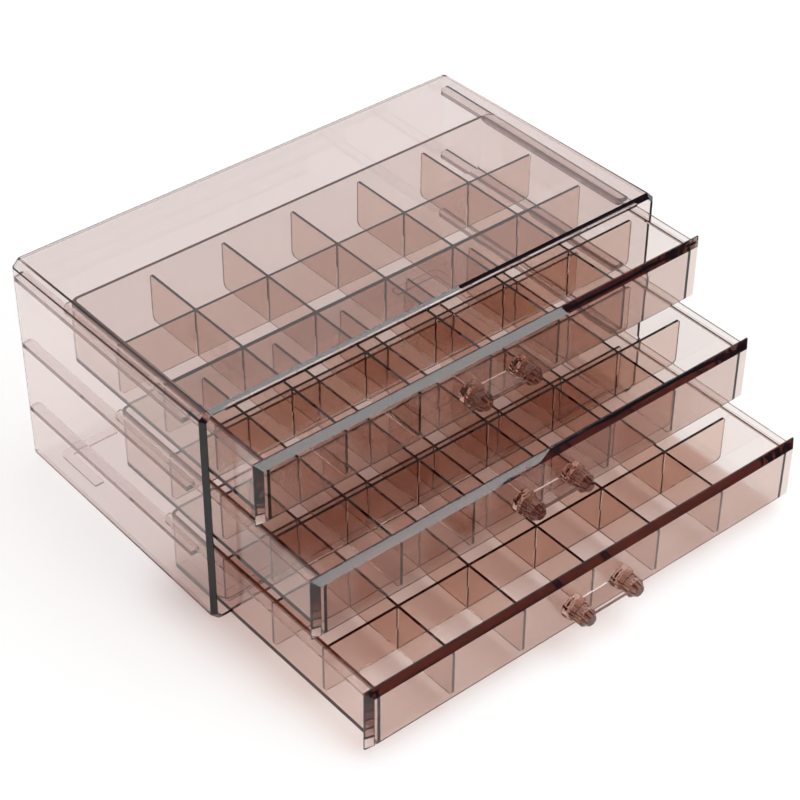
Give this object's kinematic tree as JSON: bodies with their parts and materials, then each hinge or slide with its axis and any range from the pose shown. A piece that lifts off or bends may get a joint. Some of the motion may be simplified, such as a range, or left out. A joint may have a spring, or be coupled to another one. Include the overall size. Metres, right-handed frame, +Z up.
{
  "type": "nail polish organizer drawers",
  "caption": "Clear tinted desktop organizer: an open-fronted case with stacked sliding drawers, double-knob handles and removable crossed dividers for small bottles.",
  "frame": {"origin": "on the ground, under the middle of the whole object as it is stored with its drawers staggered", "axes": "+X to the object's right seen from the front, +Y from the drawer fronts to the back wall, +Z up"},
  "size_m": [0.24, 0.245, 0.1098],
  "materials": {
    "case_plastic": "clear tea-rose tint, polished",
    "drawer_plastic": "clear tea-rose tint, polished",
    "handle_plastic": "clear tea-rose tint, polished",
    "divider_plastic": "clear tea-rose tint, polished"
  },
  "bodies": {
    "case": {"case": "case_plastic"},
    "bottom_drawer": {"bottom_drawer": "drawer_plastic", "bottom_handle": "handle_plastic", "bottom_long_divider_1": "divider_plastic", "bottom_long_divider_2": "divider_plastic", "bottom_long_divider_3": "divider_plastic", "bottom_cross_divider_1": "divider_plastic", "bottom_cross_divider_2": "divider_plastic", "bottom_cross_divider_3": "divider_plastic", "bottom_cross_divider_4": "divider_plastic", "bottom_cross_divider_5": "divider_plastic"},
    "middle_drawer": {"middle_drawer": "drawer_plastic", "middle_handle": "handle_plastic", "middle_long_divider_1": "divider_plastic", "middle_long_divider_2": "divider_plastic", "middle_long_divider_3": "divider_plastic", "middle_cross_divider_1": "divider_plastic", "middle_cross_divider_2": "divider_plastic", "middle_cross_divider_3": "divider_plastic", "middle_cross_divider_4": "divider_plastic", "middle_cross_divider_5": "divider_plastic"},
    "top_drawer": {"top_drawer": "drawer_plastic", "top_handle": "handle_plastic", "top_long_divider_1": "divider_plastic", "top_long_divider_2": "divider_plastic", "top_long_divider_3": "divider_plastic", "top_cross_divider_1": "divider_plastic", "top_cross_divider_2": "divider_plastic", "top_cross_divider_3": "divider_plastic", "top_cross_divider_4": "divider_plastic", "top_cross_divider_5": "divider_plastic"}
  },
  "joints": [
    {"name": "bottom_drawer_slide", "type": "slide", "parent": "case", "child": "bottom_drawer", "axis": [0, -1, 0], "range_m": [-0.0924, 0.018]},
    {"name": "middle_drawer_slide", "type": "slide", "parent": "case", "child": "middle_drawer", "axis": [0, -1, 0], "range_m": [-0.0609, 0.0495]},
    {"name": "top_drawer_slide", "type": "slide", "parent": "case", "child": "top_drawer", "axis": [0, -1, 0], "range_m": [-0.0277, 0.0827]}
  ]
}
